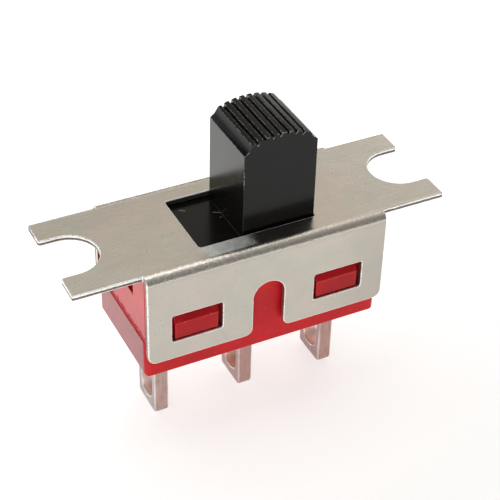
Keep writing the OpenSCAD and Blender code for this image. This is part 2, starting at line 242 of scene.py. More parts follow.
def on_plane(tree, across, along):
    """A place on a flat sheet, made from two coordinates."""
    return put(tree, "CombineXYZ", {"X": across, "Y": along}).outputs["Vector"]


def in_millimetres(tree, stretch=(1, 1, 1)):
    """The piece's own coordinates in millimetres, stretched along each axis."""
    place = put(tree, "TexCoord").outputs["Object"]
    scale = [s / MM for s in stretch]
    return put(tree, "Mapping", {"Vector": place, "Scale": scale}).outputs["Vector"]


def sheared(tree, place):
    """Two-way coordinates that run across every face of a block, whichever way it looks."""
    x, y, z = axes(tree, place)
    across = maths(tree, "MULTIPLY_ADD", z, SHEAR_X, x)
    along = maths(tree, "MULTIPLY_ADD", z, SHEAR_Y, y)
    return on_plane(tree, across, along)


def noise(tree, vector, scale, detail=2, roughness=0.5, distortion=0):
    inputs = {"Vector": vector, "Scale": scale, "Detail": detail, "Roughness": roughness,
              "Distortion": distortion}
    return put(tree, "TexNoise", inputs).outputs["Fac"]


def streaks(tree, vector, turn, length, width, start=0):
    """Noise drawn out to a length and a width, at an angle in the XY plane."""
    inputs = {"Vector": vector, "Location": (start, start, 0), "Rotation": (0, 0, radians(turn)),
              "Scale": (length, width, 1)}
    drawn = put(tree, "Mapping", inputs, vector_type="TEXTURE").outputs["Vector"]
    return noise(tree, drawn, 1, 1, 0.4)


def scratches(tree, vector, *marks):
    """Fine straight marks: 1 on a mark.

    Each set of marks is an angle, a length, a width and a level. A higher level leaves fewer."""
    sets = []
    for number, (turn, length, width, level) in enumerate(marks, 1):
        drawn = streaks(tree, vector, turn, length, width, start=SCRATCHES_APART * number)
        sets.append(above(tree, drawn, level, SCRATCH_SOFT))
    return largest(tree, *sets)


def line_mark(tree, vector, start, end, width):
    """One fine straight mark between two points."""
    start, end = Vector(start), Vector(end)
    along = end - start
    offset = vector_maths(tree, "SUBTRACT", {0: vector, 1: start})
    share = vector_maths(tree, "DOT_PRODUCT", {0: offset, 1: along / along.length_squared}, "Value")
    share = maths(tree, "MAXIMUM", maths(tree, "MINIMUM", share, 1), 0)
    nearest = vector_maths(tree, "SCALE", {0: along, "Scale": share})
    gap = vector_maths(tree, "DISTANCE", {0: offset, 1: nearest}, "Value")
    return below(tree, gap, width / 2, width / 2)


def new_material(name, **sockets):
    """A material, its node tree and its shader, with numbers set on the shader's own sockets."""
    material = bpy.data.materials.new(name)
    material.use_nodes = True
    tree = material.node_tree
    shader = tree.nodes["Principled BSDF"]
    for key, value in sockets.items():
        shader.inputs[key].default_value = value
    return material, tree, shader


def finish(tree, shader, colour, rough, *bumps):
    """Joins a colour, a roughness and layers of bump to the shader. A layer is a height and its depth."""
    tree.links.new(colour, shader.inputs["Base Color"])
    tree.links.new(rough, shader.inputs["Roughness"])
    normal = None
    for height, depth in bumps:
        inputs = {"Height": height, "Distance": depth * MM, "Strength": 1}
        if normal is not None:
            inputs["Normal"] = normal
        normal = put(tree, "Bump", inputs).outputs["Normal"]
    tree.links.new(normal, shader.inputs["Normal"])


# ---- Helpers for meshes ----

def make_object(name, bm):
    mesh = bpy.data.meshes.new(name)
    bm.to_mesh(mesh)
    bm.free()
    made = bpy.data.objects.new(name, mesh)
    scene.collection.objects.link(made)
    return made


def softened(node, width, weld, sort):
    """A copy of a CAD node with its sharp edges rounded, which keeps inside the node's box.

    Sort gives a face's material slot from its middle, in millimetres, its normal, and whether it is
    part of a rounded edge."""
    bm = bmesh.new()
    bm.from_mesh(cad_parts[node].data)
    bmesh.ops.remove_doubles(bm, verts=bm.verts, dist=weld * MM)
    bmesh.ops.dissolve_limit(bm, angle_limit=radians(FLAT_ANGLE), verts=bm.verts, edges=bm.edges)
    for face in bm.faces:
        face.material_index = 0
    sharp = [e for e in bm.edges if len(e.link_faces) == 2 and e.calc_face_angle() > radians(SHARP_ANGLE)]
    bmesh.ops.bevel(bm, geom=sharp, offset=width * MM, offset_type="OFFSET", segments=ROUNDING_STEPS,
                    profile=0.5, affect="EDGES", clamp_overlap=False, material=RIM_SLOT)
    low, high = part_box(node)
    for vert in bm.verts:
        vert.co = [min(max(c, a), b) for c, a, b in zip(vert.co, low, high)]
    for face in bm.faces:
        face.smooth = True
        rounded = face.material_index == RIM_SLOT
        face.material_index = sort(face.calc_center_median() / MM, face.normal, rounded)
    made = make_object(node + "_finished", bm)
    normals = made.modifiers.new("normals", "WEIGHTED_NORMAL")
    normals.weight = 100
    normals.keep_sharp = True
    return made


def coil(name, low, high, wire, turns, sides=12, steps=40):
    """A coil of round wire that fills a box. The wire has so many sides, and a turn so many steps."""
    middle = (low + high) / 2
    radius = (high.x - low.x - wire) / 2
    climb = high.z - low.z - wire
    bm = bmesh.new()
    rings = []
    for step in range(turns * steps + 1):
        turn = 2 * pi * step / steps
        share = step / (turns * steps)
        height = low.z + wire / 2 + climb * share
        ring = []
        for side in range(sides):
            angle = 2 * pi * side / sides
            reach = radius + wire / 2 * cos(angle)
            place = Vector((middle.x + reach * cos(turn), middle.y + reach * sin(turn),
                            height + wire / 2 * sin(angle)))
            ring.append(bm.verts.new(place * MM))
        rings.append(ring)
    for first, second in zip(rings, rings[1:]):
        for side in range(sides):
            following = (side + 1) % sides
            bm.faces.new((first[side], second[side], second[following], first[following]))
    bm.faces.new(rings[0])
    bm.faces.new(list(reversed(rings[-1])))
    bmesh.ops.recalc_face_normals(bm, faces=bm.faces)
    for face in bm.faces:
        face.smooth = len(face.verts) == 4
    return make_object(name, bm)


def paint(piece, *materials):
    """Fills the material slots of a new piece in order."""
    for material in materials:
        piece.data.materials.append(material)


def repaint(node, material):
    """Gives a CAD node that stays in view its material."""
    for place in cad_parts[node].material_slots:
        place.link = "OBJECT"
        place.material = material


# ---- Camera, light and floor ----

VIEW_AZIMUTH = -27.31
VIEW_ELEVATION = 37.38
VIEW_ROLL = 1.65
VIEW_DISTANCE = 70.24
VIEW_AIM = Vector((-0.06, -1.33, -1.58))
LENS = 104.65
SENSOR = 36

SKY = [(0.0, (0.13, 0.13, 0.13)), (0.39, (0.185, 0.182, 0.176)), (0.76, (0.3, 0.29, 0.27)),
       (0.84, (0.39, 0.363, 0.322)), (0.9, (0.47, 0.46, 0.43)), (1.0, (0.6, 0.59, 0.57))]
SKY_STRENGTH = 1.72
# The direction in which the sky brightens.
SKY_TOP_Y = 0.41
SKY_TOP_Z = 0.91
# How much of its light the sky keeps on the left, and how much the paler patch adds.
SKY_LEFT_SHARE = 0.3
SKY_PATCH = 0.26
FLOOR_REACH = 1500
FLOOR_WHITE = (0.8, 0.8, 0.8, 1)
# How brightly the floor glows in front of the switch, behind it, and besides that far in front.
FLOOR_GLOW_FRONT = 0.44
FLOOR_GLOW_BEHIND = 0.78
FLOOR_GLOW_FAR = 0.4
FLOOR_GLOW_COLOUR = (1, 1, 1, 1)


def view_axes(azimuth, elevation, roll):
    """The camera's right, up and back directions. Azimuth 0 looks along +Y."""
    a, e, r = radians(azimuth), radians(elevation), radians(roll)
    back = Vector((sin(a) * cos(e), -cos(a) * cos(e), sin(e)))
    right = Vector((cos(a), sin(a), 0))
    up = back.cross(right)
    return right * cos(r) + up * sin(r), up * cos(r) - right * sin(r), back


def make_camera():
    """A view from the front left and above, with a long lens."""
    right, up, back = view_axes(VIEW_AZIMUTH, VIEW_ELEVATION, VIEW_ROLL)
    data = bpy.data.cameras.new("view")
    data.lens = LENS
    data.sensor_width = SENSOR
    data.clip_start = 1 * MM
    data.clip_end = 10000 * MM
    camera = bpy.data.objects.new("view", data)
    turn = Matrix((right, up, back)).transposed().to_4x4()
    camera.matrix_world = Matrix.Translation((VIEW_AIM + back * VIEW_DISTANCE) * MM) @ turn
    scene.collection.objects.link(camera)
    scene.camera = camera


def make_softbox(name, place, aim, size, radiance):
    """A rectangular white light whose face has the given brightness."""
    data = bpy.data.lights.new(name, "AREA")
    data.shape = "RECTANGLE"
    data.size, data.size_y = size[0] * MM, size[1] * MM
    data.energy = pi * data.size * data.size_y * radiance
    light = bpy.data.objects.new(name, data)
    light.location = Vector(place) * MM
    light.visible_camera = False
    light.rotation_euler = (Vector(aim) - Vector(place)).to_track_quat("-Z", "Y").to_euler()
    scene.collection.objects.link(light)


def make_world():
    """A soft sky, brightest a little behind overhead and darker on the left, with a paler patch low at
    the front left."""
    world = bpy.data.worlds.new("studio")
    world.use_nodes = True
    scene.world = world
    tree = world.node_tree
    x, y, z = axes(tree, put(tree, "TexCoord").outputs["Generated"])
    rise = maths(tree, "MULTIPLY_ADD", z, SKY_TOP_Z, maths(tree, "MULTIPLY", y, SKY_TOP_Y))
    sky = ramp(tree, rise, SKY)
    side = maths(tree, "MAXIMUM", maths(tree, "MULTIPLY_ADD", x, 0.7, 0.75), SKY_LEFT_SHARE)
    sky = vector_maths(tree, "SCALE", {0: sky, "Scale": side})
    front_left = above(tree, weighted(tree, 0, (x, -0.85), (y, -0.5), clamp=False), 0.6, 0.3)
    sky = vector_maths(tree, "ADD", {0: sky, 1: maths(tree, "MULTIPLY", front_left, SKY_PATCH)})
    background = tree.nodes["Background"]
    tree.links.new(sky, background.inputs["Color"])
    background.inputs["Strength"].default_value = SKY_STRENGTH


def make_floor():
    """Plain pale paper under the lugs. It glows faintly, most behind the switch and far in front of it."""
    base = cad_box[0][2]
    bm = bmesh.new()
    reach = FLOOR_REACH * MM
    corners = ((-reach, -reach), (reach, -reach), (reach, reach), (-reach, reach))
    bm.faces.new([bm.verts.new((x, y, base)) for x, y in corners])
    floor = make_object("floor", bm)
    material, tree, shader = new_material("floor_paper", Roughness=0.9)
    shader.inputs["Base Color"].default_value = FLOOR_WHITE
    shader.inputs["Specular IOR Level"].default_value = 0.2
    shader.inputs["Emission Color"].default_value = FLOOR_GLOW_COLOUR
    x, y, _ = axes(tree, in_millimetres(tree))
    behind = weighted(tree, 0, (x, -0.4), (y, 0.9), clamp=False)
    glow = above(tree, behind, 0, 16, low=FLOOR_GLOW_FRONT, high=FLOOR_GLOW_BEHIND)
    distance = vector_maths(tree, "LENGTH", {0: on_plane(tree, x, y)}, "Value")
    far_in_front = product(tree, above(tree, distance, 24, 12), below(tree, behind, 0, 16), FLOOR_GLOW_FAR)
    tree.links.new(maths(tree, "ADD", glow, far_in_front), shader.inputs["Emission Strength"])
    paint(floor, material)


# ---- Steel sheet ----

STEEL_NEUTRAL = (0.61, 0.562, 0.5)
STEEL_PINK = (0.635, 0.56, 0.498)
STEEL_GREEN = (0.57, 0.56, 0.49)
STEEL_OLIVE = (0.53, 0.53, 0.455)
STEEL_BRIGHT = (0.8, 0.77, 0.71)
STEEL_PAINTED_SHADE = (0.3, 0.28, 0.25)
STEEL_SPECK = (0.25, 0.19, 0.16)
STEEL_RUBBED = (0.8, 0.87, 0.86)
STEEL_SCRATCH = (0.92, 0.92, 0.9)
STEEL_NICK = (0.34, 0.3, 0.27)
RIM_SHADES = [(0.32, (0.66, 0.63, 0.6)), (0.45, (0.86, 0.85, 0.82)), (0.66, (0.96, 0.95, 0.93))]
WINDOW_HIGHLIGHT_SHADES = [(0.3, (0.9, 0.88, 0.85)), (0.6, (0.98, 0.97, 0.95))]
FOLD_GLINT = (0.95, 0.94, 0.92)
FOLD_PAINTED_SHADE = (0.28, 0.25, 0.215)
TORN_SHADED_DARK = (0.1, 0.088, 0.076)
TORN_SHADED_PALE = (0.13, 0.115, 0.1)
PUNCH_LINE = (0.45, 0.4, 0.36)
WINDOW_WALL_SHADE = (0.09, 0.08, 0.065)

EARS_FROM_X = 6.8
DULLER_FROM_X = 4.6
# The strip in front of the window that is rubbed, and the scuffs on the window's left.
RUBBED_X = (-2.9, -0.5)
RUBBED_Y = (-2.86, -WINDOW_EDGE + 0.1)
SCUFFED_X = (-3.75, -3.15)
SCUFFED_TO_Y = 2.2


def sheet_place(tree):
    """Places on the frame's sheet before it was folded: X along it, Y across it and on down the flaps.

    It gives the place, and then X, Y and Z as they are once folded."""
    x, y, z = axes(tree, in_millimetres(tree))
    down = maths(tree, "MULTIPLY", z, maths(tree, "SIGN", y))
    return on_plane(tree, x, maths(tree, "SUBTRACT", y, down)), x, y, z


def sheet_colour(tree, place, mottle, grain, fine):
    """Plated steel: drifting tints, a grain along X and a few dark specks, with smoother flaps darkened by
    painted shade, deepest towards the right-hand end.
    """
    x, across, _ = axes(tree, place)
    ends = above(tree, absolute(tree, x), EARS_FROM_X, 2.4)
    flap = above(tree, absolute(tree, across), FRAME_HIGH.y + 0.4, 0.1)
    drift = weighted(tree, 0, (noise(tree, place, 0.33, 3, 0.55), 1), (ends, -0.16))
    tint = blend(tree, ramp(tree, drift, [(0.3, 0), (0.46, 0.5), (0.58, 1)]), STEEL_GREEN, STEEL_PINK)
    tint = blend(tree, ramp(tree, mottle, [(0.42, 0), (0.62, 0.6)]), tint, STEEL_NEUTRAL)
    light = ramp(tree, weighted(tree, 0, (grain, 0.5), (fine, 0.5)), [(0.32, 0), (0.68, 0.34)])
    light = product(tree, light, maths(tree, "MULTIPLY_ADD", flap, -0.55, 1))
    tint = blend(tree, light, tint, STEEL_BRIGHT)
    blotch = ramp(tree, noise(tree, place, 0.8, 2), [(0.42, 0), (0.6, 0.35)])
    tint = touched(tree, tint, flap, blotch, STEEL_OLIVE)
    # Painted shade: the flaps are darkened, more so towards the right-hand end (+X).
    flap_shade_right = above(tree, x, DULLER_FROM_X, 2)
    tint = touched(tree, tint, flap, weighted(tree, 0.2, (flap_shade_right, 0.26)), STEEL_PAINTED_SHADE)
    return touched(tree, tint, above(tree, noise(tree, place, 7.3, 1), 0.72, 0.03), 0.35, STEEL_SPECK)


def plated_steel():
    """The frame's faces and folds, the rubbed strip in front of the window and the scuffs beside it."""
    material, tree, shader = new_material("plated_steel", Metallic=1.0)
    place, x, y, z = sheet_place(tree)
    from_middle = absolute(tree, y)
    mottle = noise(tree, place, 1.4, 3, 0.6)
    grain = streaks(tree, place, 0, 1.6, 0.05)
    fine = noise(tree, place, 9, 3, 0.6)
    wave = noise(tree, place, 1.1, 2)
    colour = sheet_colour(tree, place, mottle, grain, fine)

    fold = product(tree, above(tree, from_middle, FOLD_START - 0.05, 0.12),
                   above(tree, z, -FOLD_RADIUS - 0.08, 0.1))
    crackle = noise(tree, place, 5.5, 3, 0.62, 0.6)
    glints = product(tree, fold, above(tree, z, -0.2, 0.06), above(tree, crackle, 0.54, 0.07),
                     below(tree, x, -1, 4))
    colour = touched(tree, colour, glints, 0.7, FOLD_GLINT)
    # Painted shade: a darker band across the foot of each fold.
    fold_foot_shade = product(tree, above(tree, from_middle, FRAME_HIGH.y - 0.2, 0.06),
                        between(tree, z, -FOLD_RADIUS, -0.24, 0.05))
    colour = touched(tree, colour, fold_foot_shade, 0.4, FOLD_PAINTED_SHADE)

    wander = maths(tree, "MULTIPLY_ADD", wave, 0.8, -0.4)
    rubbed = product(tree, between(tree, maths(tree, "ADD", x, wander), *RUBBED_X, 0.4),
                     between(tree, y, *RUBBED_Y, 0.1), above(tree, z, -0.1, 0.02))
    colour = touched(tree, colour, rubbed, 0.85, STEEL_RUBBED)
    beside_window = product(tree, between(tree, x, *SCUFFED_X, 0.2),
                            below(tree, from_middle, SCUFFED_TO_Y, 0.3))

    rub_marks = scratches(tree, place, (64, 0.9, 0.035, 0.6), (-20, 0.7, 0.03, 0.62), (8, 1.1, 0.03, 0.6))
    hairlines = scratches(tree, place, (12, 3, 0.028, 0.765), (-37, 2.2, 0.025, 0.775),
                          (71, 1.6, 0.025, 0.775))
    scuffs = scratches(tree, place, (88, 0.8, 0.035, 0.64), (70, 0.6, 0.03, 0.66))
    worn = largest(tree, product(tree, rubbed, rub_marks), product(tree, hairlines, 0.22),
                   product(tree, beside_window, scuffs, 0.16))
    colour = touched(tree, colour, worn, 0.8, STEEL_SCRATCH)

    rough = weighted(tree, 0.13, (grain, 0.06), (mottle, 0.1), (fine, 0.04), (fold, 0.05), (rubbed, 0.15),
                     (worn, 0.16))
    dents = product(tree, largest(tree, fold, rubbed), crackle)
    finish(tree, shader, colour, rough, (noise(tree, place, 0.3, 1), 0.045), (wave, 0.009), (grain, 0.0014),
           (fine, 0.0014), (dents, 0.013), (worn, -0.003))
    return material


def rubbed_rim():
    """The sheet's rounded edges, burnished brighter than the faces, with small nicks."""
    material, tree, shader = new_material("plated_steel_rim", Metallic=1.0)
    place = sheet_place(tree)[0]
    wear = noise(tree, place, 3.2, 3, 0.6)
    nicks = above(tree, noise(tree, place, 11, 2), 0.62, 0.05)
    colour = touched(tree, ramp(tree, wear, RIM_SHADES), nicks, 0.6, STEEL_NICK)
    rough = weighted(tree, 0.36, (wear, 0.18), (nicks, 0.15))
    finish(tree, shader, colour, rough, (wear, 0.004), (nicks, -0.004))
    return material


def window_rim_highlight():
    """The window's rounded rim, painted near white as a non-metal: a painted highlight along the punched
    edge.
    """
    material, tree, shader = new_material("window_rim_highlight", Metallic=0.0, IOR=1.8)
    wear = noise(tree, in_millimetres(tree), 4, 3, 0.6)
    finish(tree, shader, ramp(tree, wear, WINDOW_HIGHLIGHT_SHADES), weighted(tree, 0.4, (wear, 0.2)), (wear, 0.004))
    return material


def punched_steel(name, level, along, bright, grey):
    """A punched edge: burnished and bright with a painted highlight for half the thickness, then torn and
    dark with painted shade, then grey.

    Level gives the place through the sheet, from 0 at the punched side to 1. The drawn lines run the
    way that along stretches them. Inside the window the edge is painted dark: painted shade and a
    painted reflection of the black flange below."""
    material, tree, shader = new_material(name, Metallic=1.0)
    place = in_millimetres(tree)
    x, y, _ = axes(tree, place)
    ragged = noise(tree, place, 6, 3, 0.6)
    through = weighted(tree, -0.11, (level(tree, place), 1), (ragged, 0.22), clamp=False)
    lines = noise(tree, in_millimetres(tree, along), 1, 2, 0.6)
    # The bright band is burnish and painted highlight; the dark bands after it are painted shade on the
    # torn steel.
    colour = ramp(tree, through, [(0.0, bright), (0.36, bright), (0.46, TORN_SHADED_DARK), (0.7, TORN_SHADED_PALE),
                                  (0.84, grey), (1.0, [c * 0.6 for c in grey])])
    colour = blend(tree, ramp(tree, lines, [(0.4, 0), (0.7, 0.45)]), colour, PUNCH_LINE)
    # Painted shade and reflection: the walls inside the window are darkened.
    in_window = product(tree, below(tree, absolute(tree, x), WINDOW_ZONE_X, 0.1),
                        below(tree, absolute(tree, y), WINDOW_ZONE_Y, 0.05))
    colour = touched(tree, colour, in_window, 0.8, WINDOW_WALL_SHADE)
    torn = above(tree, through, 0.43, 0.05)
    rough = weighted(tree, 0.24, (torn, 0.28), (lines, 0.1))
    finish(tree, shader, colour, rough, (lines, 0.004), (product(tree, torn, ragged), 0.02))
    return material


def below_top(tree, place):
    """How far a point is through the top sheet, from its upper side."""
    return maths(tree, "DIVIDE", axes(tree, place)[2], -SHEET)


def inside_flap(tree, place):
    """How far a point is through a flap, from its outer side."""
    out = absolute(tree, axes(tree, place)[1])
    return maths(tree, "DIVIDE", maths(tree, "SUBTRACT", FRAME_HIGH.y, out), SHEET)


# ---- Plastics ----

# Each set of shades is dark, middle and light.
RED_RIM_SHADES = ((0.46, 0.009, 0.011), (0.58, 0.012, 0.014), (0.85, 0.4, 0.36))
BLACK_SHADES = ((0.0028, 0.0027, 0.0026), (0.0042, 0.004, 0.0038), (0.06, 0.056, 0.05))
BLACK_RIM_SHADES = ((0.006, 0.006, 0.0058), (0.012, 0.0115, 0.011), (0.16, 0.15, 0.13))
ACETAL_SHADES = ((0.62, 0.58, 0.49), (0.74, 0.71, 0.62), (0.85, 0.84, 0.78))
RED_GREEN_PART = 0.0075
RED_BLUE_PART = 0.0135
RED_DUST = (0.8, 0.4, 0.38)
RED_SCRATCH = (0.8, 0.45, 0.42)
RED_LATCH_SHADE = (0.12, 0.001, 0.002)
RED_FLASH = (0.36, 0.003, 0.01)
FLANGE_BLACK = (0.0045, 0.0038, 0.0022)
STAR_GREY = (0.5, 0.5, 0.48)
BLACK_SCRATCH = (0.2, 0.19, 0.17)
BLACK_GLINT = (0.3, 0.29, 0.26)

# The rubs on the case under the flaps' arches.
ARCH_RUBS_X = 0.9
ARCH_RUBS_Z = (-4.6, -3.4)

# The star-shaped scratches on the knob's flange, and the dent in the larger one. Each has a start, an
# end and a width.
FLANGE_SCRATCHES = (
    ((-1.1, 0.7), (-0.44, 0.34), 0.05),
    ((-0.74, 0.9), (-0.56, 0.3), 0.035),
    ((-0.98, 0.16), (-0.5, 0.36), 0.03),
    ((-2.5, 1.52), (-2.3, 1.36), 0.06),
)
FLANGE_DENT = ((-0.46, 0.36), (-0.42, 0.34), 0.13)


def moulded(tree, place, shades, roughness):
    """The skin of moulded plastic: drifting shade, a fine texture and pale dust.

    It gives the colour, the roughness, and the heights of the drift and of the fine texture."""
    dark, middle, light = shades
    cloud = noise(tree, place, 0.6, 3, 0.55)
    fine = noise(tree, place, 16, 3, 0.6)
    shade = blend(tree, ramp(tree, cloud, [(0.35, 0), (0.65, 1)]), dark, middle)
    shade = touched(tree, shade, above(tree, noise(tree, place, 8.5, 2), 0.745, 0.02), 0.5, light)
    smudge = noise(tree, place, 1.7, 3, 0.6)
    rough = weighted(tree, roughness - 0.08, (smudge, 0.12), (fine, 0.05))
    return shade, rough, cloud, fine


def red_case(name, red, roughness, ior, dust_and_sheen=0):
    """The moulded case: latches darkened with painted shade, rubs under the arch, hairline marks, and a
    ragged flash along the top of the ledge at each end. The last argument greys the red, for dust and a
    painted sheen of reflected light."""
    material, tree, shader = new_material(name, IOR=ior)
    place = in_millimetres(tree)
    x, y, z = axes(tree, place)
    from_middle = absolute(tree, x)
    colour = (red, RED_GREEN_PART + dust_and_sheen, RED_BLUE_PART + dust_and_sheen)
    shades = ([c * 0.8 for c in colour], colour, RED_DUST)
    shade, rough, cloud, fine = moulded(tree, place, shades, roughness)
    # Painted shade: the case is darkened round the latches.
    latch_shade = product(tree, above(tree, z, LEDGE_Z - 0.1, 0.05),
                      above(tree, from_middle, LATCHES_FROM_X, 0.1),
                      below(tree, from_middle, LATCHES_TO_X, 0.1))
    shade = touched(tree, shade, latch_shade, 0.36, RED_LATCH_SHADE)

    long_side = above(tree, absolute(tree, y), CASE_HIGH.y - 0.05, 0.02)
    under_arch = product(tree, long_side, between(tree, z, *ARCH_RUBS_Z, 0.25),
                         below(tree, from_middle, ARCH_RUBS_X, 0.3))
    flat = on_plane(tree, x, z)
    rubs = scratches(tree, flat, (3, 0.9, 0.03, 0.6), (-14, 0.6, 0.03, 0.64), (40, 0.5, 0.025, 0.66))
    hairlines = scratches(tree, flat, (22, 1.8, 0.025, 0.75), (-48, 1.5, 0.025, 0.76))
    worn = largest(tree, product(tree, under_arch, rubs), product(tree, hairlines, 0.4))
    shade = touched(tree, shade, worn, 0.4, RED_SCRATCH)

    ragged_top = maths(tree, "MULTIPLY_ADD", noise(tree, place, 2.4, 4, 0.7), 1.5, LEDGE_Z - 0.56)
    flash = product(tree, above(tree, from_middle, CASE_HIGH.x - 0.6, 0.05),
                    above(tree, z, LEDGE_Z - 0.03, 0.02),
                    above(tree, maths(tree, "SUBTRACT", ragged_top, z), 0, 0.03))
    shade = touched(tree, shade, flash, 0.8, RED_FLASH)
    rough = weighted(tree, rough, (worn, 0.25), (flash, 0.3))
    finish(tree, shader, shade, rough, (cloud, 0.006), (fine, 0.0016), (worn, -0.002), (flash, 0.03))
    return material


def red_rim():
    """The case's rounded edges, a little more saturated and polished, with small nicks."""
    material, tree, shader = new_material("red_case_rim", IOR=1.42)
    place = in_millimetres(tree)
    shade, rough, cloud, fine = moulded(tree, place, RED_RIM_SHADES, 0.26)
    nicks = above(tree, noise(tree, place, 6.5, 3), 0.66, 0.03)
    shade = touched(tree, shade, nicks, 0.35, RED_RIM_SHADES[-1])
    finish(tree, shader, shade, rough, (cloud, 0.004), (fine, 0.0016), (nicks, -0.004))
    return material


def black_knob(name, ior):
    """The knob: satin black with finger smudges and fine scratches, and star-shaped ones on its flange."""
    material, tree, shader = new_material(name, IOR=ior)
    place = in_millimetres(tree)
    z = axes(tree, place)[2]
    shade, rough, cloud, fine = moulded(tree, place, BLACK_SHADES, 0.2)
    flange = below(tree, z, -0.2, 0.05)
    shade = touched(tree, shade, product(tree, flange, cloud), 0.9, FLANGE_BLACK)

    def on_flange(mark):
        start, end, width = mark
        return line_mark(tree, place, (*start, FLANGE_Z), (*end, FLANGE_Z), width)

    over = sheared(tree, place)
    shine = product(tree, below(tree, z, CROWN_Z, 0.2),
                    scratches(tree, over, (74, 1.4, 0.02, 0.77), (-9, 1.1, 0.02, 0.78)))
    marks = product(tree, flange, scratches(tree, over, (2, 1.6, 0.02, 0.745), (31, 0.9, 0.018, 0.77)))
    broken = above(tree, noise(tree, place, 7, 2), 0.34, 0.08)
    stars = product(tree, largest(tree, *[on_flange(mark) for mark in FLANGE_SCRATCHES]), broken)
    stars = largest(tree, stars, on_flange(FLANGE_DENT))
    shade = touched(tree, shade, stars, 0.5, STAR_GREY)
    shade = touched(tree, shade, largest(tree, shine, marks), 0.12, BLACK_SCRATCH)
    worn = largest(tree, shine, marks, stars)
    rough = weighted(tree, rough, (worn, 0.3))
    finish(tree, shader, shade, rough, (cloud, 0.004), (fine, 0.0014), (worn, -0.002))
    return material


def black_rim():
    """The knob's edges and the lips of its grooves, with pale specks of painted highlight on the upper
    edges, most at the groove ends.
    """
    material, tree, shader = new_material("black_knob_rim", IOR=1.42)
    place = in_millimetres(tree)
    _, y, z = axes(tree, place)
    shade, rough, cloud, fine = moulded(tree, place, BLACK_RIM_SHADES, 0.26)
    ends = above(tree, absolute(tree, y), GROOVE_ENDS_Y, 0.3)
    glint = product(tree, above(tree, noise(tree, place, 6, 2), 0.53, 0.05),
                    above(tree, z, SHOULDER_Z, 0.3), maths(tree, "MULTIPLY_ADD", ends, 0.6, 0.4))
    shade = blend(tree, glint, shade, BLACK_GLINT)
    finish(tree, shader, shade, rough, (cloud, 0.004), (fine, 0.002), (glint, 0.004))
    return material


def natural_acetal():
    """The plunger inside the knob."""
    material, tree, shader = new_material("natural_acetal", IOR=1.48)
    shade, rough, cloud, fine = moulded(tree, in_millimetres(tree), ACETAL_SHADES, 0.38)
    finish(tree, shader, shade, rough, (cloud, 0.006), (fine, 0.002))
    return material


# ---- Lugs, seal and the metal parts inside ----

RESIN_SHADES = [(0.3, (0.12, 0.045, 0.012)), (0.5, (0.26, 0.11, 0.03)), (0.7, (0.42, 0.2, 0.06))]
RESIN_BUBBLE = (0.5, 0.3, 0.13)


def stamped(name, shades, roughness, stretch=(6, 6, 0.8), copper=None, blush=None):
    """Stamped metal with drawn marks, in dark, middle and light shades. Stretch sets which way they run.

    Where copper is given, it shows through in patches. Blush tints the middle and right-hand lugs,
    whose plating is thinner."""
    dark, middle, light = shades
    material, tree, shader = new_material(name, Metallic=1.0)
    place = in_millimetres(tree)
    cloud = noise(tree, place, 1.3, 3, 0.6)
    drawn = noise(tree, in_millimetres(tree, stretch), 1, 3, 0.6)
    pits = above(tree, noise(tree, place, 12, 2), 0.68, 0.04)
    shade = blend(tree, ramp(tree, cloud, [(0.35, 0), (0.65, 1)]), dark, middle)
    shade = blend(tree, ramp(tree, drawn, [(0.45, 0), (0.7, 0.6)]), shade, light)
    if copper:
        bare = above(tree, noise(tree, place, 2.6, 3, 0.65), 0.5, 0.12)
        shade = touched(tree, shade, bare, 0.75, copper)
    shade = touched(tree, shade, pits, 0.5, dark)
    if blush:
        thin = above(tree, axes(tree, place)[0], LUG_GAP_X, 0.5)
        shade = blend(tree, thin, shade, vector_maths(tree, "MULTIPLY", {0: shade, 1: blush}))
    rough = weighted(tree, roughness - 0.08, (cloud, 0.12), (drawn, 0.08))
    finish(tree, shader, shade, rough, (cloud, 0.012), (drawn, 0.004), (pits, -0.003))
    return material


def resin():
    """Set amber resin that has pulled up round the lugs, with small bubbles."""
    material, tree, shader = new_material("amber_resin", IOR=1.52)
    place = in_millimetres(tree)
    cloud = noise(tree, place, 0.9, 3, 0.6)
    skin = noise(tree, place, 2.4, 2)
    cells = put(tree, "TexVoronoi", {"Vector": place, "Scale": 3.1}).outputs["Distance"]
    bubbles = below(tree, cells, 0.13, 0.04)
    shade = touched(tree, ramp(tree, cloud, RESIN_SHADES), bubbles, 0.6, RESIN_BUBBLE)
    rough = weighted(tree, 0.1, (cloud, 0.14), (skin, 0.06))
    finish(tree, shader, shade, rough, (cloud, 0.05), (skin, 0.02), (bubbles, -0.02))
    return material


# ---- Which material slot a face takes ----

def frame_face(middle, normal, rounded):
    """0 for the sheet's two sides, 1 for rims, 2 and 3 for punched edges of the top and the flaps, and
    4 for the window's rim."""
    if rounded:
        in_window = abs(middle.x) < WINDOW_ZONE_X and abs(middle.y) < WINDOW_ZONE_Y
        return 4 if in_window and middle.z > -0.1 else 1
    bend = abs(middle.y) > FOLD_START + 0.02 and abs(normal.x) < 0.5 and abs(middle.x) < CASE_HIGH.x
    if middle.z > -SHEET - 0.01 and abs(normal.z) < 0.5 and not bend:
        return 2
    if abs(middle.y) > FRAME_HIGH.y - SHEET and middle.z < -FOLD_RADIUS and abs(normal.y) < 0.5:
        return 3
    return 0


def case_face(middle, normal, rounded):
    """0 for the ends, the top and the underside, 1 for rims, 2 for the long sides and 3 for the ends
    below the ledge."""
    if rounded:
        return 1
    if abs(normal.y) > 0.3:
        return 2
    return 3 if abs(normal.x) > 0.9 and middle.z < LEDGE_Z else 0


def knob_face(middle, normal, rounded):
    """0 for the knob, 1 for rims and 2 for its glossier sides, which face along its travel."""
    if rounded:
        return 1
    return 2 if abs(normal.x) > 0.9 and middle.z > 0 else 0


